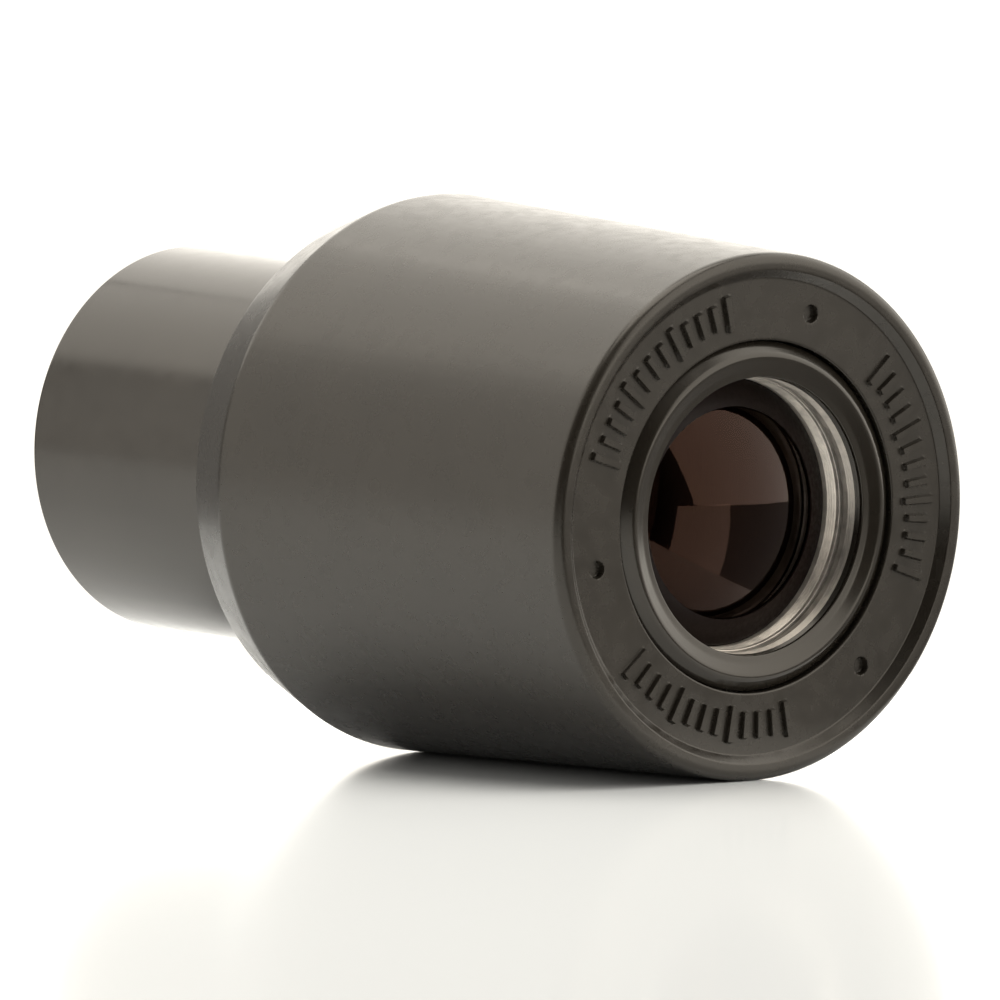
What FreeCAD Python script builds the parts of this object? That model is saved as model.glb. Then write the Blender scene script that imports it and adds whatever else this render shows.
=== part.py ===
"""Wide-field microscope eyepiece: 10x, field number 18, barrel 23.2 mm.

The optical axis is the X axis. The eye side is at +X and the barrel points to -X.
The origin is on the axis, in the plane of the shoulder that seats on the viewing tube.
Lengths are in millimetres. An outline is drawn in the (x, r) half plane and turned
about the X axis.
"""
import FreeCAD, Part
import math
import os

# Driving dimensions
BARREL_R = 11.6          # standard 23.2 mm eyepiece barrel
BARREL_LENGTH = 20.2     # free length behind the shoulder
HOUSING_LENGTH = 34.2    # shoulder to the top of the lip round the eye face
FACE_R = 15.7            # outside of the housing at the eye face
WIDEST_R = 16.74         # outside of the housing at its widest circle
WIDEST_X = 3.8
SHOULDER_R = 15.39       # outside of the rear chamfer at the shoulder plane
FIELD_R = 9.0            # field number 18
STOP_DEPTH = 10.0        # field stop below the shoulder, the standard image distance
RUNNING_GAP = 0.05       # radial clearance of every turned fit

# Eye face
EDGE_R = 0.6             # rounding of the outer edge
LIP_WIDTH = 0.4
LIP_HEIGHT = 0.5         # lip above the flat annulus
ANNULUS_X = HOUSING_LENGTH - LIP_HEIGHT
LIP_R = FACE_R - EDGE_R - LIP_WIDTH
SEAM_GAP = 0.08
RING_R = 10.42           # outside of the retaining ring
CREST_R = 9.6            # crest of the retaining ring
CREST_HEIGHT = 0.33      # crest above the annulus
DISH_DEPTH = 0.42        # bore edge below the crest
BORE_R = 8.3             # bore of the retaining ring at its front edge
BORE_TAPER = 0.15

# Raised marks and dimples on the annulus
MARK_GROUPS = 3
MARKS_PER_GROUP = 13
MARK_PITCH_DEG = 5.0
MARK_WIDTH = 0.45
MARK_HEIGHT = 0.3
MARK_LONG = (11.3, 13.5)
MARK_SHORT = (11.6, 13.2)
LONG_EVERY = 4
FIRST_GROUP_DEG = 42.0
FIRST_DIMPLE_DEG = -18.0
DIMPLE_CIRCLE_R = 12.5
DIMPLE_R = 0.5
DIMPLE_DEPTH = 0.4

# Housing inside
RIM_R = 14.4             # bore of the housing's rear rim
PLATE = 3.0              # thickness of the shoulder ring's plate
FRONT_WALL = 2.5
SKIN_FRONT_R = 13.6
SKIN_REAR_R = 14.2
BOSS_R = 12.0            # outside of the inner tube that holds the lens cell
CELL_R = 10.25           # outside of the lens cell
CELL_REAR_X = 7.0
FLANGE_X = 6.0           # front end of the barrel's threaded socket
THREAD_SEAT_X = 31.0     # rear end of the retaining ring's thread

# Optics
LENS_R = 9.25
CELL_FRONT_X = 31.7
CELL_LIP_X = 30.2        # rear face of the cell's front lip, where the eye lens rests
CELL_LIP_R = 8.0
APERTURE_R = 6.35        # clear opening of the ring on the eye lens
APERTURE_RING = 0.12     # thickness of that ring
CUSHION = 0.25
SPACER_BORE_R = 8.6
EYE_FRONT_CURVE = 15.0   # curvature radii of the lens faces
EYE_CEMENT_CURVE = 18.0
FIELD_FRONT_CURVE = 22.0
CROWN_THICKNESS = 7.5
FLINT_THICKNESS = 2.0
FIELD_LENS_VERTEX_X = 14.6
FIELD_LENS_REAR_X = 9.4
LOCK_RING = 2.0          # length of both lock rings
SLOT_WIDTH = 1.2
SLOT_DEPTH = 0.8

# Barrel
SPIGOT_R = 10.6          # outside of the barrel's thread
SPIGOT_END_X = 5.9
NECK_R = 11.4
NECK_X = 0.3
COUNTERBORE_R = 11.7
WASHER = 0.5
THROAT_R = 9.7
BARREL_BORE_R = 10.5
BARREL_CHAMFER = 0.4
STOP_THICKNESS = 0.5

AXIS_POINT = FreeCAD.Vector(0, 0, 0)
AXIS = FreeCAD.Vector(1, 0, 0)


def at(x, r):
    """The point of the half plane at x along the axis and r from it."""
    return FreeCAD.Vector(x, 0, r)


def turned(*outline):
    """Solid turned about the axis.

    Each step of the outline is a point (x, r), or an arc written as the pair
    (middle point, end point). A straight line closes the outline unless its last
    arc already ends at the first point.
    """
    last = outline[0]
    edges = []
    for step in outline[1:]:
        if isinstance(step[0], tuple):
            middle, end = step
            edges.append(Part.Arc(at(*last), at(*middle), at(*end)).toShape())
        else:
            end = step
            edges.append(Part.makeLine(at(*last), at(*end)))
        last = end
    if last != outline[0]:
        edges.append(Part.makeLine(at(*last), at(*outline[0])))
    face = Part.Face(Part.Wire(edges))
    return Part.makeSolid(face.revolve(AXIS_POINT, AXIS, 360))


def sag(curve, r):
    """Depth of a spherical lens face at radius r."""
    return curve - math.sqrt(curve ** 2 - r ** 2)


def domed(vertex_x, curve, r):
    """Arc step from the axis out to radius r, falling towards -X from its vertex."""
    return (vertex_x - sag(curve, r / 2), r / 2), (vertex_x - sag(curve, r), r)


def hollowed_inwards(vertex_x, curve, r):
    """Arc step from radius r to the axis on a face that bulges towards -X."""
    return (vertex_x + sag(curve, r / 2), r / 2), (vertex_x, 0)


def hollowed_outwards(vertex_x, curve, r):
    """The same arc walked from the axis out to radius r."""
    return (vertex_x + sag(curve, r / 2), r / 2), (vertex_x + sag(curve, r), r)


def spun(shape, degrees):
    """Copy of a shape turned about the optical axis."""
    copy = shape.copy()
    copy.rotate(AXIS_POINT, AXIS, degrees)
    return copy


def mark(inner_r, outer_r):
    """One raised radial mark, standing on the annulus along +Z."""
    root = MARK_HEIGHT
    corner = FreeCAD.Vector(ANNULUS_X - root, -MARK_WIDTH / 2, inner_r)
    return Part.makeBox(MARK_HEIGHT + root, MARK_WIDTH, outer_r - inner_r, corner)


def mark_group(centre_deg):
    """Marks spread evenly on both sides of one direction of the face."""
    marks = []
    for i in range(MARKS_PER_GROUP):
        span = MARK_LONG if i % LONG_EVERY == 0 else MARK_SHORT
        offset = (i - (MARKS_PER_GROUP - 1) / 2) * MARK_PITCH_DEG
        marks.append(spun(mark(*span), centre_deg + offset))
    return marks


def dimple(direction_deg):
    """Shallow round recess in the annulus."""
    base = FreeCAD.Vector(ANNULUS_X - DIMPLE_DEPTH, 0, DIMPLE_CIRCLE_R)
    return spun(Part.makeCylinder(DIMPLE_R, 2 * DIMPLE_DEPTH, base, AXIS), direction_deg)


def spanner_slot(ring_x):
    """Slot right across a ring's rear end face, which leaves a notch on each side."""
    reach = 2 * (BARREL_BORE_R + 1)
    corner = FreeCAD.Vector(ring_x, -SLOT_WIDTH / 2, -reach / 2)
    return Part.makeBox(SLOT_DEPTH, SLOT_WIDTH, reach, corner)


def housing_shell():
    """Moulded outer shell with the eye face and the inner tube."""
    skin_front_x = ANNULUS_X - FRONT_WALL
    edge_x = HOUSING_LENGTH - EDGE_R
    edge_centre_r = FACE_R - EDGE_R
    bend = EDGE_R * math.sqrt(0.5)
    seat_r = RING_R + SEAM_GAP
    shell = turned(
        (0, RIM_R),
        (0, SHOULDER_R),
        (WIDEST_X, WIDEST_R),
        (edge_x, FACE_R),
        ((edge_x + bend, edge_centre_r + bend), (HOUSING_LENGTH, edge_centre_r)),
        (HOUSING_LENGTH, LIP_R),
        (ANNULUS_X, LIP_R - LIP_HEIGHT),
        (ANNULUS_X, seat_r),
        (THREAD_SEAT_X, seat_r),
        (THREAD_SEAT_X, CELL_R + RUNNING_GAP),
        (CELL_REAR_X, CELL_R + RUNNING_GAP),
        (CELL_REAR_X, BOSS_R),
        (skin_front_x, BOSS_R),
        (skin_front_x, SKIN_FRONT_R),
        (PLATE, SKIN_REAR_R),
        (PLATE, RIM_R),
    )
    marks = []
    dimples = []
    for group in range(MARK_GROUPS):
        turn = group * 360 / MARK_GROUPS
        marks += mark_group(FIRST_GROUP_DEG + turn)
        dimples.append(dimple(FIRST_DIMPLE_DEG + turn))
    return shell.fuse(marks).cut(dimples).Solids[0]


def shoulder_ring():
    """Rear ring: shoulder face, barrel thread and seat of the lens cell."""
    hub_r = BOSS_R + 1.5
    hub_x = CELL_REAR_X + 2
    return turned(
        (0, COUNTERBORE_R),
        (0, RIM_R - RUNNING_GAP),
        (PLATE, RIM_R - RUNNING_GAP),
        (PLATE, hub_r),
        (hub_x, hub_r),
        (hub_x, BOSS_R + RUNNING_GAP),
        (CELL_REAR_X, BOSS_R + RUNNING_GAP),
        (CELL_REAR_X, LENS_R + RUNNING_GAP),
        (FLANGE_X, LENS_R + RUNNING_GAP),
        (FLANGE_X, SPIGOT_R + RUNNING_GAP),
        (NECK_X + WASHER, SPIGOT_R + RUNNING_GAP),
        (NECK_X + WASHER, COUNTERBORE_R),
    )


def eye_lens_retaining_ring():
    """Ring screwed into the eye face, with a raised crest and a dished inner slope."""
    crest_x = ANNULUS_X + CREST_HEIGHT
    dish_x = crest_x - DISH_DEPTH
    rear_x = CELL_FRONT_X + CUSHION
    crest_flat = 0.12
    dish_middle = (dish_x + 0.12, (CREST_R + BORE_R) / 2)
    return turned(
        (rear_x, BORE_R - BORE_TAPER),
        (rear_x, RING_R),
        (ANNULUS_X, RING_R),
        (crest_x, CREST_R + crest_flat),
        (crest_x, CREST_R - crest_flat),
        (dish_middle, (dish_x, BORE_R)),
    )


def cell_cushion_ring():
    """Thin rubber ring between the retaining ring and the lens cell."""
    return turned(
        (CELL_FRONT_X, CELL_LIP_R + 0.4),
        (CELL_FRONT_X, CELL_R - RUNNING_GAP),
        (CELL_FRONT_X + CUSHION, CELL_R - RUNNING_GAP),
        (CELL_FRONT_X + CUSHION, CELL_LIP_R + 0.4),
    )


def lens_cell():
    """Sleeve that holds all the lenses, with a front lip."""
    lip_flare = 0.12
    return turned(
        (CELL_REAR_X, LENS_R + RUNNING_GAP),
        (CELL_REAR_X, CELL_R),
        (CELL_FRONT_X, CELL_R),
        (CELL_FRONT_X, CELL_LIP_R + lip_flare),
        (CELL_LIP_X, CELL_LIP_R),
        (CELL_LIP_X, LENS_R + RUNNING_GAP),
    )


def eye_front_vertex():
    """Front vertex of the eye lens, which touches the lip's inner edge."""
    return CELL_LIP_X + sag(EYE_FRONT_CURVE, CELL_LIP_R)


def eye_lens_aperture_ring():
    """Thin black ring that lies on the convex front of the eye lens."""
    outer_r = CELL_LIP_R - RUNNING_GAP
    middle_r = (APERTURE_R + outer_r) / 2
    vertex = eye_front_vertex()

    def on_sphere(r, lift):
        return vertex - EYE_FRONT_CURVE + math.sqrt((EYE_FRONT_CURVE + lift) ** 2 - r ** 2), r

    return turned(
        on_sphere(APERTURE_R, 0),
        on_sphere(APERTURE_R, APERTURE_RING),
        (on_sphere(middle_r, APERTURE_RING), on_sphere(outer_r, APERTURE_RING)),
        on_sphere(outer_r, 0),
        (on_sphere(middle_r, 0), on_sphere(APERTURE_R, 0)),
    )


def eye_rear_x():
    """Flat rear face of the eye lens."""
    return eye_front_vertex() - CROWN_THICKNESS - FLINT_THICKNESS


def eye_lens_crown():
    """Eye-side element of the cemented doublet, convex on both faces."""
    front = eye_front_vertex()
    cement = front - CROWN_THICKNESS
    return turned(
        (cement, 0),
        (front, 0),
        domed(front, EYE_FRONT_CURVE, LENS_R),
        (cement + sag(EYE_CEMENT_CURVE, LENS_R), LENS_R),
        hollowed_inwards(cement, EYE_CEMENT_CURVE, LENS_R),
    )


def eye_lens_flint():
    """Field-side element of the cemented doublet, flat behind."""
    cement = eye_front_vertex() - CROWN_THICKNESS
    rear = eye_rear_x()
    return turned(
        (rear, LENS_R),
        (rear, 0),
        (cement, 0),
        hollowed_outwards(cement, EYE_CEMENT_CURVE, LENS_R),
    )


def lens_spacer():
    """Tube that keeps the eye lens and the field lens apart."""
    front = eye_rear_x()
    rear = FIELD_LENS_VERTEX_X - sag(FIELD_FRONT_CURVE, SPACER_BORE_R)
    return turned((rear, SPACER_BORE_R), (rear, LENS_R), (front, LENS_R), (front, SPACER_BORE_R))


def field_lens():
    """Plano-convex lens above the field stop."""
    return turned(
        (FIELD_LENS_REAR_X, 0),
        (FIELD_LENS_VERTEX_X, 0),
        domed(FIELD_LENS_VERTEX_X, FIELD_FRONT_CURVE, LENS_R),
        (FIELD_LENS_REAR_X, LENS_R),
    )


def field_lens_lock_ring():
    """Slotted ring that closes the lens cell."""
    rear = FIELD_LENS_REAR_X - LOCK_RING
    ring = turned((rear, SPACER_BORE_R), (rear, LENS_R), (FIELD_LENS_REAR_X, LENS_R),
                  (FIELD_LENS_REAR_X, SPACER_BORE_R))
    return ring.cut(spanner_slot(rear)).Solids[0]


def barrel_seal_washer():
    """Thin washer between the barrel's shoulder and the housing."""
    return turned(
        (NECK_X, SPIGOT_R + RUNNING_GAP),
        (NECK_X, NECK_R),
        (NECK_X + WASHER, NECK_R),
        (NECK_X + WASHER, SPIGOT_R + RUNNING_GAP),
    )


def barrel_tube():
    """Barrel with its threaded spigot."""
    end_x = -BARREL_LENGTH
    lead = 0.3
    return turned(
        (end_x, BARREL_BORE_R + lead),
        (end_x, BARREL_R - BARREL_CHAMFER),
        (end_x + BARREL_CHAMFER, BARREL_R),
        (0, BARREL_R),
        (0, NECK_R),
        (NECK_X, NECK_R),
        (NECK_X, SPIGOT_R),
        (SPIGOT_END_X - lead, SPIGOT_R),
        (SPIGOT_END_X, SPIGOT_R - lead),
        (SPIGOT_END_X, THROAT_R),
        (-STOP_DEPTH, THROAT_R),
        (-STOP_DEPTH, BARREL_BORE_R),
        (end_x + lead, BARREL_BORE_R),
    )


def field_stop():
    """Diaphragm with a knife edge that bounds the field of view."""
    rear = -STOP_DEPTH - STOP_THICKNESS
    return turned(
        (-STOP_DEPTH, FIELD_R),
        (-STOP_DEPTH, BARREL_BORE_R - RUNNING_GAP),
        (rear, BARREL_BORE_R - RUNNING_GAP),
        (rear, FIELD_R + STOP_THICKNESS),
    )


def field_stop_lock_ring():
    """Slotted ring that holds the field stop against the barrel's ledge."""
    front = -STOP_DEPTH - STOP_THICKNESS
    rear = front - LOCK_RING
    inner_r = FIELD_R + STOP_THICKNESS
    outer_r = BARREL_BORE_R - RUNNING_GAP
    ring = turned((rear, inner_r), (rear, outer_r), (front, outer_r), (front, inner_r))
    return ring.cut(spanner_slot(rear)).Solids[0]


PIECES = (
    housing_shell,
    shoulder_ring,
    eye_lens_retaining_ring,
    cell_cushion_ring,
    lens_cell,
    eye_lens_aperture_ring,
    eye_lens_crown,
    eye_lens_flint,
    lens_spacer,
    field_lens,
    field_lens_lock_ring,
    barrel_seal_washer,
    barrel_tube,
    field_stop,
    field_stop_lock_ring,
)

os.makedirs("parts", exist_ok=True)
for piece in PIECES:
    solid = piece()
    solid.exportStep("parts/" + piece.__name__ + ".step")
    print(piece.__name__, "valid", solid.isValid(), "volume", round(solid.Volume, 1))
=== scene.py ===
"""Looks of a wide-field microscope eyepiece lying on its side on a pale glossy sheet.

The optical axis is the X axis and the eye side is at +X. Lengths are in millimetres
until a mesh is made; outlines are drawn as (x, r) about the axis.
"""

import math

import bpy
from mathutils import Matrix, Vector


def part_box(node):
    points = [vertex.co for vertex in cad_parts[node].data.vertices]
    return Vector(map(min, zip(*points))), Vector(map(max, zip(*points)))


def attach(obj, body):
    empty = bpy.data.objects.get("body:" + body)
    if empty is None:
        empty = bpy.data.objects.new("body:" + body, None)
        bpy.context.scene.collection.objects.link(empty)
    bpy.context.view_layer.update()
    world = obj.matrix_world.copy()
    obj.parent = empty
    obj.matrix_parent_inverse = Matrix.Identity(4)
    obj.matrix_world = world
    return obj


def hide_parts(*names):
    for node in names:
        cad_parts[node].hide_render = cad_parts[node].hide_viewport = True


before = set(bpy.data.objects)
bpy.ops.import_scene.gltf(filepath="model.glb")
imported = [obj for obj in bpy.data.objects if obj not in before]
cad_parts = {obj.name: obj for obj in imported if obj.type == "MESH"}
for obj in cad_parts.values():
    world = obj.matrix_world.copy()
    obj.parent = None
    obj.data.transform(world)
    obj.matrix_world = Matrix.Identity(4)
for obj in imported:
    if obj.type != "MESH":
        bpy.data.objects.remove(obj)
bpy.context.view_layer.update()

MM = 0.001


# ---------------------------------------------------------------- sizes from the frame

def reach(node):
    """Lowest x, highest x and outside radius of a CAD node, in millimetres."""
    low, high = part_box(node)
    return low.x / MM, high.x / MM, high.y / MM


SHELL_REAR, LIP_X, WIDEST_R = reach("housing_shell")
CELL_REAR, CELL_FRONT, CELL_R = reach("lens_cell")
RING_REAR, CREST_X, RING_R = reach("eye_lens_retaining_ring")
BARREL_END, SPIGOT_END, BARREL_R = reach("barrel_tube")
PLATE_REAR, HUB_X, PLATE_R = reach("shoulder_ring")
WASHER_REAR, WASHER_FRONT, _ = reach("barrel_seal_washer")
CUSHION_REAR, CUSHION_FRONT, CUSHION_R = reach("cell_cushion_ring")
EYE_VERTEX_X = reach("eye_lens_crown")[1]
EYE_REAR_X, _, LENS_R = reach("eye_lens_flint")

# Sizes that a box doesn't show
FACE_R = 15.7
WIDEST_X = 3.8
SHOULDER_R = 15.39
EDGE_ROUND = 0.6
LIP_WIDTH = 0.4
LIP_HEIGHT = 0.5
ANNULUS_X = LIP_X - LIP_HEIGHT
LIP_INNER_R = FACE_R - EDGE_ROUND - LIP_WIDTH
SEAM_GAP = 0.08
RIM_R = 14.4
BOSS_R = 12.0
SKIN_R = 13.9
FRONT_WALL = 2.5
CREST_R = 9.6
DISH_DEPTH = 0.42
BORE_R = 8.3
BORE_TAPER = 0.15
PAINTED_HIGHLIGHT_BORE_X = 32.85      # behind this the bore is painted a pale metal colour, a painted highlight for the strongly lit bore wall
GROOVE_PITCH = 0.2       # turning grooves of the ring's bore and the cell's lip
GROOVE_DEPTH = 0.06
CELL_LIP_R = 8.0
CELL_LIP_X = 30.2
CELL_FLARE = 0.12
CUSHION_BORE_R = CELL_LIP_R + 0.4
LENS_SEAT_R = 9.3
CELL_GAP = 0.04          # play of the lens sleeve in the housing
TURNED_GAP = 0.05        # play between the shoulder plate and the pieces inside it
SKIRT_X = 3.0            # the shell's thin rim and the plate's flange end here
HUB_R = BOSS_R + 1.5
THREAD_BORE_X = 6.0      # the plate's threaded bore ends here
APERTURE_R = 6.35
APERTURE_RING = 0.12
EYE_FRONT_CURVE = 15.0
NECK_R = 11.4
COUNTERBORE_R = 11.7
SPIGOT_R = 10.6
THROAT_R = 9.7
BARREL_BORE_R = 10.5
STOP_X = -10.0
BARREL_BEVEL = 0.15
BARREL_LEAD_IN = 0.3
THREAD_PITCH = 0.75
THREAD_DEPTH = 0.38
RIDGE_FOOT = 0.36        # half widths of the thread's ridge, as parts of the pitch
RIDGE_CREST = 0.06

MARK_GROUPS = 3
MARKS_PER_GROUP = 13
MARK_PITCH = math.radians(5)
MARK_WIDTH = 0.45
MARK_HEIGHT = 0.3
MARK_LONG = (11.3, 13.5)
MARK_SHORT = (11.6, 13.2)
LONG_EVERY = 4
FIRST_GROUP = math.radians(42)
FIRST_DIMPLE = math.radians(-18)
DIMPLE_CIRCLE_R = 12.5
DIMPLE_R = 0.5
DIMPLE_DEPTH = 0.4
DIMPLE_STEP = 0.045      # distance between mesh points across a dimple
DIMPLE_STEPS = 13        # and their number on each side of its centre
SOFT_EDGE = 0.1          # width over which moulded relief rises
FINE_STEP = 0.05         # distance between mesh points across the relief
LEAST_STEP = 0.012       # points of the relief closer than this are merged


# ---------------------------------------------------------------- turned meshes

TURN_SEGMENTS = 288
ARC_STEP = math.radians(12)
SHARP_ANGLE = math.radians(38)


def rounded(corners):
    """Points of a closed outline. A corner is (x, r) or (x, r, rounding radius)."""
    points = []
    count = len(corners)
    for i, corner in enumerate(corners):
        here = Vector(corner[:2])
        radius = corner[2] if len(corner) > 2 else 0
        if not radius:
            points.append(tuple(here))
            continue
        before = (Vector(corners[i - 1][:2]) - here).normalized()
        after = (Vector(corners[(i + 1) % count][:2]) - here).normalized()
        half = before.angle(after) / 2
        centre = here + (before + after).normalized() * radius / math.sin(half)
        start = here + before * radius / math.tan(half) - centre
        sweep = start.angle_signed(here + after * radius / math.tan(half) - centre)
        steps = max(3, math.ceil(abs(sweep) / ARC_STEP))
        for k in range(steps + 1):
            turn = Matrix.Rotation(-sweep * k / steps, 2)
            points.append(tuple(centre + turn @ start))
    return points


def supported(points, margin=0.12, longest=1.6):
    """The same outline with loops near the ends of long stretches, and none too long."""
    result = []
    for i, (x, r) in enumerate(points):
        nx, nr = points[(i + 1) % len(points)]
        length = math.hypot(nx - x, nr - r)
        result.append((x, r))
        if length < 3 * margin:
            continue
        stops = [margin / length]
        inner = max(1, math.ceil((length - 2 * margin) / longest))
        stops += [(margin + (length - 2 * margin) * k / inner) / length
                  for k in range(1, inner)]
        stops.append(1 - margin / length)
        result += [(x + (nx - x) * t, r + (nr - r) * t) for t in stops]
    return result


def even_angles(count=TURN_SEGMENTS):
    return [2 * math.pi * k / count for k in range(count)]


def place(x, r, angle):
    """Point of the row frame, in metres. Angle 0 is +Z, and it grows towards -Y."""
    return (x * MM, -r * math.sin(angle) * MM, r * math.cos(angle) * MM)


def turned(name, points, angles=None, relief=None):
    """Closed mesh of an outline turned about the axis. relief(x, r, angle) moves x."""
    angles = angles or even_angles()
    verts = []
    rings = []
    for x, r in points:
        if r < 1e-6:
            rings.append([len(verts)] * len(angles))
            verts.append((x * MM, 0, 0))
            continue
        rings.append(list(range(len(verts), len(verts) + len(angles))))
        for angle in angles:
            raised = x + relief(x, r, angle) if relief else x
            verts.append(place(raised, r, angle))
    faces = []
    for i, ring in enumerate(rings):
        following = rings[(i + 1) % len(rings)]
        if ring[0] == ring[1] and following[0] == following[1]:
            continue
        for k in range(len(angles)):
            n = (k + 1) % len(angles)
            loop = [ring[k], ring[n], following[n], following[k]]
            faces.append(list(dict.fromkeys(loop)))
    return finished_mesh(name, verts, faces)


def finished_mesh(name, verts, faces):
    """Object of a smooth-shaded closed mesh whose faces look outwards."""
    mesh = bpy.data.meshes.new(name)
    mesh.from_pydata(verts, [], faces)
    mesh.validate()
    if signed_volume(mesh) < 0:
        mesh.flip_normals()
    mesh.shade_smooth()
    mesh.set_sharp_from_angle(angle=SHARP_ANGLE)
    piece = bpy.data.objects.new(name, mesh)
    bpy.context.scene.collection.objects.link(piece)
    return piece


def signed_volume(mesh):
    """Six times the volume inside a closed mesh; negative when it is inside out."""
    mesh.calc_loop_triangles()
    total = 0
    for triangle in mesh.loop_triangles:
        a, b, c = (mesh.vertices[v].co for v in triangle.vertices)
        total += a.dot(b.cross(c))
    return total


def sag(curve, r):
    """Depth of a spherical lens face at radius r."""
    return curve - math.sqrt(curve ** 2 - r ** 2)


# ---------------------------------------------------------------- materials

def new_material(name, color, roughness):
    """Material with a Principled shader. Returns (material, its tree, the shader)."""
    material = bpy.data.materials.new(name)
    material.use_nodes = True
    tree = material.node_tree
    shader = tree.nodes["Principled BSDF"]
    shader.inputs["Base Color"].default_value = (*color, 1)
    shader.inputs["Roughness"].default_value = roughness
    return material, tree, shader


def object_coordinates(tree):
    return tree.nodes.new("ShaderNodeTexCoord").outputs["Object"]


def noise(tree, scale, detail=2.0, stretch=(1, 1, 1)):
    """Noise value over the piece. scale is in cells per metre."""
    mapping = tree.nodes.new("ShaderNodeMapping")
    mapping.inputs["Scale"].default_value = stretch
    tree.links.new(object_coordinates(tree), mapping.inputs["Vector"])
    texture = tree.nodes.new("ShaderNodeTexNoise")
    texture.inputs["Scale"].default_value = scale
    texture.inputs["Detail"].default_value = detail
    tree.links.new(mapping.outputs["Vector"], texture.inputs["Vector"])
    return texture.outputs["Fac"]


def spread(tree, value, low, high, from_low=0.3, from_high=0.7):
    """Maps a 0 to 1 value, mostly between from_low and from_high, to low to high."""
    node = tree.nodes.new("ShaderNodeMapRange")
    node.inputs["From Min"].default_value = from_low
    node.inputs["From Max"].default_value = from_high
    node.inputs["To Min"].default_value = low
    node.inputs["To Max"].default_value = high
    tree.links.new(value, node.inputs["Value"])
    return node.outputs["Result"]


def blended(tree, value, first, second):
    """Colour between two colours by a value."""
    node = tree.nodes.new("ShaderNodeMix")
    node.data_type = "RGBA"
    node.inputs[6].default_value = (*first, 1)
    node.inputs[7].default_value = (*second, 1)
    tree.links.new(value, node.inputs["Factor"])
    return node.outputs[2]


def bumped(tree, shader, heights):
    """Bump from several (height value, depth in metres) pairs."""
    normal = None
    for height, depth in heights:
        node = tree.nodes.new("ShaderNodeBump")
        node.inputs["Strength"].default_value = 1.0
        node.inputs["Distance"].default_value = depth
        tree.links.new(height, node.inputs["Height"])
        if normal:
            tree.links.new(normal, node.inputs["Normal"])
        normal = node.outputs["Normal"]
    tree.links.new(normal, shader.inputs["Normal"])


def moulded_plastic(name, color, rougher, smoother, grain_depth):
    """Black moulded plastic: faint cloudy tone, uneven gloss and a fine grain.
    rougher and smoother are the ends of its roughness; grain_depth is in metres.
    """
    material, tree, shader = new_material(name, color, rougher)
    cloud = noise(tree, 180, detail=3)
    paler = tuple(c * 1.35 for c in color)
    tree.links.new(blended(tree, spread(tree, cloud, 0, 1), color, paler),
                   shader.inputs["Base Color"])
    wear = noise(tree, 900, detail=4)
    tree.links.new(spread(tree, wear, smoother, rougher), shader.inputs["Roughness"])
    grain = noise(tree, 9000, detail=2)
    peel = noise(tree, 700, detail=1)
    bumped(tree, shader, [(grain, grain_depth), (peel, grain_depth * 0.15)])
    shader.inputs["Specular Tint"].default_value = (1.0, 0.95, 0.88, 1)
    return material


def turned_metal(name, color, roughness, pitch, groove_depth):
    """Turned metal with fine marks round the axis. pitch is their width in millimetres,
    and groove_depth their depth in metres.
    """
    material, tree, shader = new_material(name, color, roughness)
    shader.inputs["Metallic"].default_value = 0.6
    separate = tree.nodes.new("ShaderNodeSeparateXYZ")
    tree.links.new(object_coordinates(tree), separate.inputs["Vector"])
    lines = tree.nodes.new("ShaderNodeTexNoise")
    lines.noise_dimensions = "1D"
    lines.inputs["Scale"].default_value = 1 / (pitch * MM)
    lines.inputs["Detail"].default_value = 3
    tree.links.new(separate.outputs["X"], lines.inputs["W"])
    blotch = noise(tree, 1500, detail=4)
    paler = tuple(min(1, c * 1.5) for c in color)
    tree.links.new(blended(tree, spread(tree, blotch, 0, 1), color, paler),
                   shader.inputs["Base Color"])
    tree.links.new(spread(tree, blotch, roughness * 0.8, roughness * 1.2),
                   shader.inputs["Roughness"])
    bumped(tree, shader, [(lines.outputs["Fac"], groove_depth)])
    return material


def rubber(name):
    """Dull black rubber with a fine grain."""
    material, tree, shader = new_material(name, (0.006, 0.006, 0.006), 0.7)
    grain = noise(tree, 6000, detail=3)
    tree.links.new(spread(tree, grain, 0.6, 0.8), shader.inputs["Roughness"])
    bumped(tree, shader, [(grain, 0.00002)])
    return material


def black_paint(name):
    """Dull, slightly reddish paint of the ring on the lens."""
    material, tree, shader = new_material(name, (0.008, 0.003, 0.002), 0.5)
    grain = noise(tree, 4000, detail=3)
    tree.links.new(spread(tree, grain, 0.4, 0.6), shader.inputs["Roughness"])
    bumped(tree, shader, [(grain, 0.000002)])
    shader.inputs["Specular IOR Level"].default_value = 0.2
    return material


def coated_glass(name, tint, reflection, ior):
    """Polished glass. tint colours what is seen through it."""
    material, tree, shader = new_material(name, tint, 0.0)
    shader.inputs["Transmission Weight"].default_value = 1.0
    shader.inputs["IOR"].default_value = ior
    shader.inputs["Specular Tint"].default_value = (*reflection, 1)
    smears = noise(tree, 500, detail=5)
    tree.links.new(spread(tree, smears, 0.0, 0.03, 0.45, 0.75),
                   shader.inputs["Roughness"])
    return material


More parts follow.
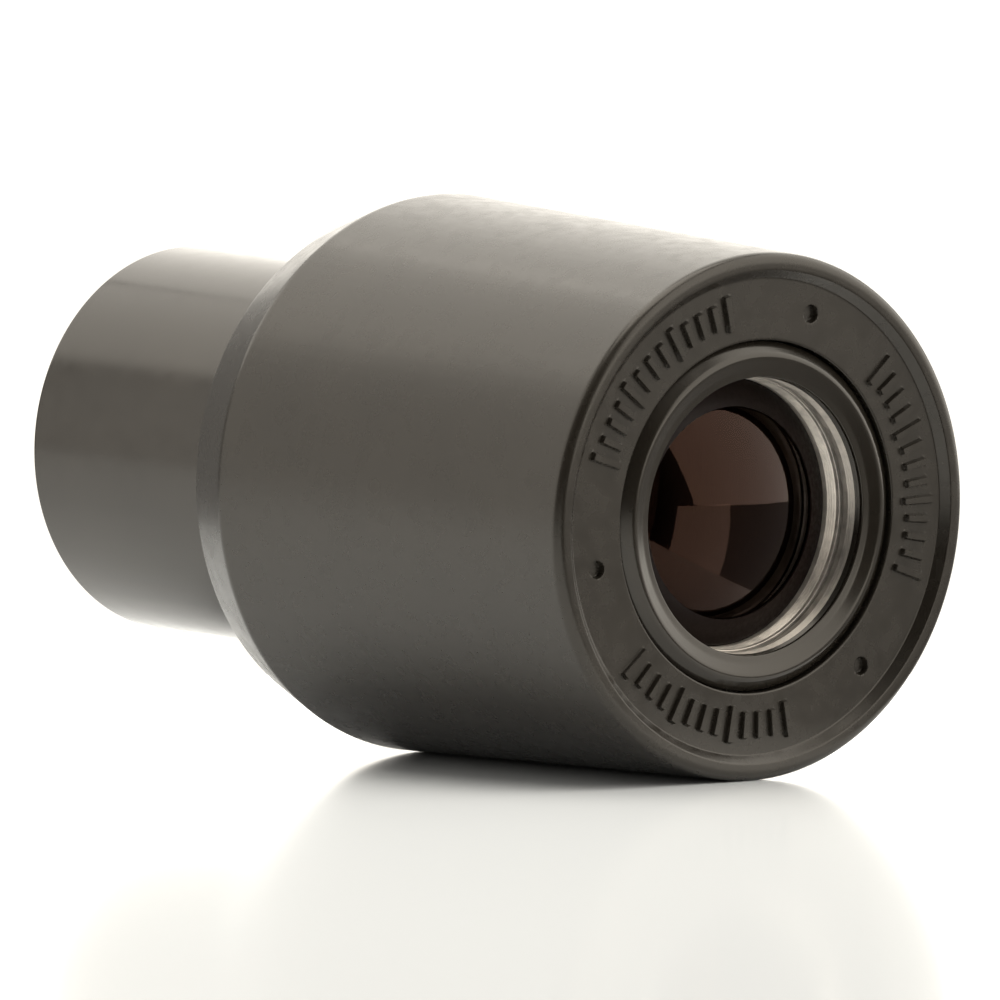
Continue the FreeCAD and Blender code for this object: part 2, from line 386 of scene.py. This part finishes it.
SHELL_COLOR = (0.0135, 0.0112, 0.0086)
BARREL_COLOR = (0.014, 0.0115, 0.009)
shell_plastic = moulded_plastic("shell_plastic", SHELL_COLOR, 0.3, 0.22, 0.0000008)
ring_plastic = moulded_plastic("ring_plastic", SHELL_COLOR, 0.23, 0.17, 0.0000008)
barrel_plastic = moulded_plastic("barrel_plastic", BARREL_COLOR, 0.2, 0.14, 0.0000005)
cell_metal = turned_metal("cell_metal", (0.50, 0.46, 0.41), 0.36, 0.05, 0.000003)
# Pale metal colour used as a painted highlight on the rear of the plastic ring's bore, where
# the bore wall is strongly lit
painted_highlight_bore = turned_metal("painted_highlight_bore", (0.36, 0.33, 0.295), 0.42, 0.08, 0.000003)
black_metal = turned_metal("blackened_metal", (0.016, 0.013, 0.011), 0.5, 0.12, 0.00001)
lens_black = black_paint("lens_black")
black_rubber = rubber("rubber")
eye_glass = coated_glass("eye_glass", (0.24, 0.14, 0.1), (1.0, 0.55, 0.4), 1.3)
field_glass = coated_glass("field_glass", (0.9, 0.88, 0.84), (1.0, 0.9, 0.85), 1.52)


def dress(piece, material, body, slot, *nodes):
    """Gives a new piece its material and its body, and hides the nodes it stands for; slot
    is not used.
    """
    piece.data.materials.append(material)
    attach(piece, body)
    if nodes:
        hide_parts(*nodes)
    return piece


def redress(node, material):
    """Gives a CAD node that keeps its own shape its material."""
    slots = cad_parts[node].data.materials
    slots.clear()
    slots.append(material)


# ---------------------------------------------------------------- the housing

def mark_directions():
    """(angle, inner radius, outer radius) of every raised mark."""
    marks = []
    for group in range(MARK_GROUPS):
        centre = FIRST_GROUP + 2 * math.pi * group / MARK_GROUPS
        for i in range(MARKS_PER_GROUP):
            angle = centre + (i - (MARKS_PER_GROUP - 1) / 2) * MARK_PITCH
            marks.append((angle, *(MARK_LONG if i % LONG_EVERY == 0 else MARK_SHORT)))
    return marks


def dimple_directions():
    return [FIRST_DIMPLE + 2 * math.pi * k / MARK_GROUPS for k in range(MARK_GROUPS)]


MARKS = mark_directions()
DIMPLES = dimple_directions()


def smooth_step(value):
    value = min(1, max(0, value))
    return value * value * (3 - 2 * value)


def angle_between(a, b):
    return (a - b + math.pi) % (2 * math.pi) - math.pi


def edge(inside):
    """0 to 1 across a soft edge, by the distance inside it."""
    return smooth_step(inside / SOFT_EDGE + 0.5)


def face_relief(x, r, angle):
    """Height of the moulded marks and dimples over the flat annulus."""
    if abs(x - ANNULUS_X) > 1e-4 or not MARK_LONG[0] - 1 < r < MARK_LONG[1] + 1:
        return 0
    height = 0
    for direction, inner, outer in MARKS:
        off = abs(angle_between(angle, direction))
        if off < MARK_PITCH / 2:
            side = edge(MARK_WIDTH / 2 - off * DIMPLE_CIRCLE_R)
            height += MARK_HEIGHT * side * edge(r - inner) * edge(outer - r)
    for direction in DIMPLES:
        off = angle_between(angle, direction)
        distance = math.hypot(r * math.cos(off) - DIMPLE_CIRCLE_R, r * math.sin(off))
        if abs(off) < 1:
            height -= DIMPLE_DEPTH * edge(DIMPLE_R - distance)
    return height


EDGE_STEPS = [SOFT_EDGE * k / 4 for k in range(-2, 3)]


def spaced(values, least):
    """Sorted values, without those that follow another too closely."""
    kept = []
    for value in sorted(values):
        if not kept or value - kept[-1] > least:
            kept.append(value)
    return kept


def face_angles():
    """Even angles, with more of them at the edges of each mark and in each dimple."""
    millimetre = 1 / DIMPLE_CIRCLE_R
    angles = even_angles()
    for direction, _, _ in MARKS:
        for step in EDGE_STEPS:
            half = (MARK_WIDTH / 2 + step) * millimetre
            angles += [direction - half, direction + half]
    for direction in DIMPLES:
        angles += [direction + DIMPLE_STEP * millimetre * k
                   for k in range(-DIMPLE_STEPS, DIMPLE_STEPS + 1)]
    return spaced((a % (2 * math.pi) for a in angles), LEAST_STEP * millimetre)


def annulus_points(outer, inner):
    """Points of the flat annulus from outer to inner radius, closer at the marks."""
    count = round((outer - inner) / FINE_STEP)
    radii = [inner + (outer - inner) * k / count for k in range(1, count)]
    for end in MARK_LONG + MARK_SHORT:
        radii += [end + step for step in EDGE_STEPS]
    return [(ANNULUS_X, r) for r in reversed(spaced(radii, LEAST_STEP))]


def housing():
    seat_r = RING_R + SEAM_GAP
    skin_front = ANNULUS_X - FRONT_WALL
    outside = rounded([
        (SHELL_REAR, RIM_R),
        (SHELL_REAR, SHOULDER_R, 0.2),
        (WIDEST_X, WIDEST_R, 1.0),
        (LIP_X, FACE_R, EDGE_ROUND),
        (LIP_X, LIP_INNER_R, 0.12),
        (ANNULUS_X, LIP_INNER_R - LIP_HEIGHT, 0.12),
        (ANNULUS_X, seat_r, 0.12),
        (CUSHION_REAR, seat_r),
        (CUSHION_REAR, CELL_R + CELL_GAP),
        (CELL_REAR, CELL_R + CELL_GAP),
        (CELL_REAR, BOSS_R),
        (skin_front, BOSS_R),
        (skin_front, SKIN_R),
        (SKIRT_X, SKIN_R),
        (SKIRT_X, RIM_R),
    ])
    points = supported(outside)
    flat = [i for i, p in enumerate(points) if abs(p[0] - ANNULUS_X) < 1e-6]
    first, last = flat[0], flat[-1]
    middle = annulus_points(points[first][1], points[last][1])
    points = points[:first + 1] + middle + points[last:]
    shell = turned("housing_shell_body", points, face_angles(), face_relief)
    dress(shell, shell_plastic, "head", "shell_plastic", "housing_shell")


def shoulder():
    points = supported(rounded([
        (PLATE_REAR, COUNTERBORE_R, 0.15),
        (PLATE_REAR, PLATE_R, 0.15),
        (SKIRT_X, PLATE_R),
        (SKIRT_X, HUB_R),
        (HUB_X, HUB_R),
        (HUB_X, BOSS_R + TURNED_GAP),
        (CELL_REAR, BOSS_R + TURNED_GAP),
        (CELL_REAR, LENS_SEAT_R),
        (THREAD_BORE_X, LENS_SEAT_R),
        (THREAD_BORE_X, SPIGOT_R + TURNED_GAP),
        (WASHER_FRONT, SPIGOT_R + TURNED_GAP),
        (WASHER_FRONT, COUNTERBORE_R),
    ]))
    plate = turned("shoulder_plate", points)
    dress(plate, shell_plastic, "head", "shell_plastic", "shoulder_ring")


def grooved(front_x, rear_x, radius_at):
    """Points of a V-grooved bore, from its front to its rear."""
    points = []
    for k in range(math.floor((front_x - rear_x) / GROOVE_PITCH)):
        x = front_x - GROOVE_PITCH * k
        points.append((x, radius_at(x)))
        points.append((x - GROOVE_PITCH / 2, radius_at(x) + GROOVE_DEPTH))
    return points


def retaining_ring():
    """Ring round the lens: outer slope, crest, dish and a finely grooved bore."""
    dish_x = CREST_X - DISH_DEPTH
    rear_r = BORE_R - BORE_TAPER
    slope_foot_x = ANNULUS_X - 0.4
    dish_corner = (dish_x + 0.05, BORE_R + 0.45, 0.5)
    front_land = 0.22
    rear_land = 0.1

    def bore_radius(x):
        return BORE_R - BORE_TAPER * (dish_x - x) / (dish_x - RING_REAR)

    points = supported(rounded([
        (RING_REAR, rear_r, 0.05),
        (RING_REAR, RING_R),
        (slope_foot_x, RING_R, 0.1),
        (CREST_X, CREST_R, 0.45),
        dish_corner,
        (dish_x, BORE_R, 0.08),
        *grooved(dish_x - front_land, RING_REAR + rear_land, bore_radius),
    ]), margin=0.06)
    ring = turned("retaining_ring", points)
    dress(ring, ring_plastic, "head", "ring_plastic", "eye_lens_retaining_ring")
    # Painted highlight: the rear of the bore takes a pale metal colour for the strongly lit
    # bore wall
    paint_lit_bore_highlight(ring, BORE_R + 1.5 * GROOVE_DEPTH, PAINTED_HIGHLIGHT_BORE_X)


def paint_lit_bore_highlight(ring, below_r, behind_x):
    """Paints the rear of a ring's machined bore a pale metal colour: a painted highlight for
    the strongly lit bore wall.
    """
    ring.data.materials.append(painted_highlight_bore)
    for face in ring.data.polygons:
        x, y, z = face.center / MM
        if math.hypot(y, z) < below_r and x < behind_x:
            face.material_index = 1


def cushion():
    points = rounded([
        (CUSHION_REAR, CUSHION_R),
        (CUSHION_FRONT, CUSHION_R),
        (CUSHION_FRONT, CUSHION_BORE_R, 0.1),
        (CUSHION_REAR, CUSHION_BORE_R, 0.1),
    ])
    ring = turned("cushion_ring", points)
    dress(ring, black_rubber, "head", "rubber", "cell_cushion_ring")


def cell():
    """Sleeve of the lenses; its grooved front lip is the bright band next to the lens."""
    front_land = 0.25
    rear_land = 0.2

    def lip_radius(x):
        return CELL_LIP_R + CELL_FLARE * (x - CELL_LIP_X) / (CELL_FRONT - CELL_LIP_X)

    points = supported(rounded([
        (CELL_REAR, LENS_SEAT_R),
        (CELL_REAR, CELL_R),
        (CELL_FRONT, CELL_R),
        (CELL_FRONT, CELL_LIP_R + CELL_FLARE, 0.04),
        *grooved(CELL_FRONT - front_land, CELL_LIP_X + rear_land, lip_radius),
        (CELL_LIP_X, CELL_LIP_R, 0.05),
        (CELL_LIP_X, LENS_SEAT_R),
    ]), margin=0.06)
    sleeve = turned("lens_sleeve", points)
    return dress(sleeve, cell_metal, "head", "cell_metal", "lens_cell")


def eye_lens():
    """The cemented doublet as one polished glass body."""
    steps = 48
    front = [(EYE_VERTEX_X - sag(EYE_FRONT_CURVE, LENS_R * k / steps), LENS_R * k / steps)
             for k in range(steps + 1)]
    bevel = 0.15
    rear = [(EYE_REAR_X + bevel, LENS_R), (EYE_REAR_X, LENS_R - bevel), (EYE_REAR_X, 0)]
    lens = turned("eye_lens", front + rear)
    return dress(lens, eye_glass, "head", "eye_glass", "eye_lens_crown", "eye_lens_flint")


def aperture_ring():
    """Thin black ring that lies on the convex front of the eye lens."""
    centre_x = EYE_VERTEX_X - EYE_FRONT_CURVE
    outer_r = CELL_LIP_R - 0.05
    steps = 10

    def arc(lift):
        curve = EYE_FRONT_CURVE + lift
        radii = [APERTURE_R + (outer_r - APERTURE_R) * k / steps for k in range(steps + 1)]
        return [(centre_x + math.sqrt(curve ** 2 - r ** 2), r) for r in radii]

    ring = turned("aperture_ring", arc(APERTURE_RING) + arc(0.01)[::-1])
    dress(ring, lens_black, "head", "blackened_metal", "eye_lens_aperture_ring")


# ---------------------------------------------------------------- the barrel

def barrel():
    points = supported(rounded([
        (BARREL_END, BARREL_BORE_R + BARREL_LEAD_IN, 0.1),
        (BARREL_END, BARREL_R - BARREL_BEVEL, 0.05),
        (BARREL_END + BARREL_BEVEL, BARREL_R, 0.1),
        (0, BARREL_R, 0.08),
        (0, NECK_R),
        (WASHER_REAR, NECK_R, 0.05),
        (WASHER_REAR, SPIGOT_R - THREAD_DEPTH),
        (SPIGOT_END, SPIGOT_R - THREAD_DEPTH, 0.1),
        (SPIGOT_END, THROAT_R, 0.1),
        (STOP_X, THROAT_R, 0.05),
        (STOP_X, BARREL_BORE_R),
        (BARREL_END + BARREL_LEAD_IN, BARREL_BORE_R, 0.1),
    ]))
    tube = turned("barrel_body", points)
    dress(tube, barrel_plastic, "barrel", "barrel_plastic", "barrel_tube")


def barrel_thread():
    """Helical ridge on the spigot, tapering away at both ends."""
    per_turn = 96
    start, end = WASHER_FRONT + 0.3, SPIGOT_END - 0.5
    turns = (end - start) / THREAD_PITCH
    steps = math.ceil(turns * per_turn)
    sunk = 0.03
    root = SPIGOT_R - THREAD_DEPTH - sunk
    verts = []
    for i in range(steps + 1):
        angle = 2 * math.pi * turns * i / steps
        x = start + (end - start) * i / steps
        fade = smooth_step(min(i, steps - i) / (per_turn / 4))
        crest = root + (SPIGOT_R - root) * max(fade, 0.02)
        for across, r in ((-RIDGE_FOOT, root), (-RIDGE_CREST, crest),
                          (RIDGE_CREST, crest), (RIDGE_FOOT, root)):
            verts.append(place(x + across * THREAD_PITCH, r, -angle))
    faces = [(0, 1, 2, 3), tuple(4 * steps + k for k in (3, 2, 1, 0))]
    for i in range(steps):
        for k in range(4):
            n = (k + 1) % 4
            faces.append((4 * i + k, 4 * i + n, 4 * i + 4 + n, 4 * i + 4 + k))
    thread = finished_mesh("barrel_thread", verts, faces)
    dress(thread, barrel_plastic, "barrel", "barrel_plastic")


def inside():
    """The pieces that only show through the lens, the barrel or the opened joint."""
    redress("lens_spacer", black_metal)
    redress("field_lens_lock_ring", black_metal)
    redress("field_stop", black_metal)
    redress("field_stop_lock_ring", black_metal)
    redress("field_lens", field_glass)
    redress("barrel_seal_washer", black_rubber)


# ---------------------------------------------------------------- floor, light, camera

TILT = math.atan2(WIDEST_R - FACE_R, LIP_X - WIDEST_X)
floor_frame = Matrix.Rotation(-TILT, 3, "Y")
UP = floor_frame @ Vector((0, 0, 1))
CONTACT = Vector((WIDEST_X * MM, 0, -WIDEST_R * MM))

AZIMUTH = math.radians(50.3)
ELEVATION = math.radians(4.06)
LENS_MM = 1200
SENSOR_MM = 36
FRAME_WIDTH = 59.75 * MM
TARGET_X = 9.9
TARGET_DROP = 1.12
LIGHT_DISTANCE = 0.6
LIGHT_COLOR = (1.0, 0.955, 0.87)
WORLD_COLOR = (1.0, 0.96, 0.89)
WORLD_SEEN = 1.2         # strength of the background for the camera
WORLD_LIGHT = 0.42       # and as a source of light, away from the camera
WORLD_DARK = 0.02        # and round the camera
DARK_EDGE = (0.4, 0.82)  # cosines between which the one passes into the other
SHEET_COLOR = (0.88, 0.91, 0.94)


def direction(azimuth, elevation):
    """Unit vector from the object, azimuth 0 being -Y and 90 degrees +X of the floor."""
    flat = Vector((math.sin(azimuth), -math.cos(azimuth), 0)) * math.cos(elevation)
    return floor_frame @ (flat + Vector((0, 0, math.sin(elevation))))


def looking(back, up):
    """Rotation of something that looks along -back with its top towards up."""
    right = up.cross(back).normalized()
    return Matrix((right, back.cross(right), back)).transposed().to_4x4()


def camera():
    data = bpy.data.cameras.new("camera")
    data.lens = LENS_MM
    data.sensor_width = SENSOR_MM
    data.clip_start = 0.01
    data.clip_end = 20
    eye = bpy.data.objects.new("camera", data)
    bpy.context.scene.collection.objects.link(eye)
    back = direction(AZIMUTH, ELEVATION)
    rotation = looking(back, UP)
    drop = rotation.to_3x3() @ Vector((0, -TARGET_DROP * MM, 0))
    target = Vector((TARGET_X * MM, 0, 0)) + drop
    distance = FRAME_WIDTH * LENS_MM / SENSOR_MM
    eye.matrix_world = Matrix.Translation(target + back * distance) @ rotation
    bpy.context.scene.camera = eye


def softbox(name, azimuth, elevation, width, height, radiance, only=None):
    """Light that faces the object. Its azimuth, in degrees, is 0 on the camera's side,
    -90 at the camera's left and 180 behind the object. Width and height are in metres.
    With a piece given as only, it lights nothing else.
    """
    data = bpy.data.lights.new(name, "AREA")
    data.shape = "RECTANGLE"
    data.color = LIGHT_COLOR
    data.size = width
    data.size_y = height
    data.energy = radiance * math.pi * width * height
    lamp = bpy.data.objects.new(name, data)
    bpy.context.scene.collection.objects.link(lamp)
    outwards = direction(AZIMUTH + math.radians(azimuth), math.radians(elevation))
    up = UP if elevation < 80 else direction(AZIMUTH, 0)
    lamp.matrix_world = Matrix.Translation(outwards * LIGHT_DISTANCE) @ looking(outwards, up)
    lamp.visible_camera = False
    if only:
        receivers = bpy.data.collections.new(name + "_receivers")
        receivers.objects.link(only)
        lamp.light_linking.receiver_collection = receivers


def floor():
    """Glossy white sheet. It ends a little to the right of the object and behind it."""
    far = 0.6
    right_edge = 0.038
    back_edge = 0.06
    side = direction(AZIMUTH + math.pi / 2, 0)
    ahead = -direction(AZIMUTH, 0)
    verts = [CONTACT + side * x + ahead * y
             for x, y in ((-far, -far), (right_edge, -far), (right_edge, back_edge),
                          (-far, back_edge))]
    mesh = bpy.data.meshes.new("floor")
    mesh.from_pydata(verts, [], [(0, 1, 2, 3)])
    sheet = bpy.data.objects.new("floor", mesh)
    bpy.context.scene.collection.objects.link(sheet)
    material, _, shader = new_material("floor", SHEET_COLOR, 0.11)
    shader.inputs["IOR"].default_value = 1.25
    sheet.data.materials.append(material)
    return sheet


def surroundings():
    """White background for the camera. As a source of light it is dim, and almost
    black on the camera's side.
    """
    world = bpy.data.worlds.new("surroundings")
    world.use_nodes = True
    tree = world.node_tree
    backdrop = tree.nodes["Background"]
    towards = tree.nodes.new("ShaderNodeTexCoord").outputs["Generated"]
    facing = tree.nodes.new("ShaderNodeVectorMath")
    facing.operation = "DOT_PRODUCT"
    facing.inputs[1].default_value = direction(AZIMUTH, 0)
    tree.links.new(towards, facing.inputs[0])
    dim = spread(tree, facing.outputs["Value"], WORLD_LIGHT, WORLD_DARK, *DARK_EDGE)
    path = tree.nodes.new("ShaderNodeLightPath")
    strength = tree.nodes.new("ShaderNodeMix")
    strength.inputs["B"].default_value = WORLD_SEEN
    tree.links.new(dim, strength.inputs["A"])
    tree.links.new(path.outputs["Is Camera Ray"], strength.inputs["Factor"])
    tree.links.new(strength.outputs["Result"], backdrop.inputs["Strength"])
    backdrop.inputs["Color"].default_value = (*WORLD_COLOR, 1)
    bpy.context.scene.world = world
    bpy.context.scene.view_settings.view_transform = "Standard"


def studio(sheet, lens, sleeve):
    """A white tent round the object, brightest above and behind, open at the camera.
    The sheet, the lens and its sleeve have one more light each.
    """
    softbox("light_top", 0, 90, 0.5, 0.5, 3.2)
    softbox("light_back", 180, 28, 0.46, 0.74, 1.9)
    softbox("light_back_left", -129.5, 42, 0.372, 0.5, 1.9)
    softbox("light_left", -86, 25, 0.42, 0.7, 1.08)
    softbox("light_right", 94, 28, 1.26, 0.74, 2.1)
    softbox("light_floor", 0, 90, 0.5, 0.5, 3.4, sheet)
    softbox("light_lens", 57, -23, 0.3, 0.44, 1.6, lens)
    softbox("light_lip", -24, 8, 0.3, 0.4, 1.2, sleeve)


housing()
shoulder()
retaining_ring()
cushion()
lens_sleeve = cell()
front_lens = eye_lens()
aperture_ring()
barrel()
barrel_thread()
inside()
surroundings()
studio(floor(), front_lens, lens_sleeve)
camera()
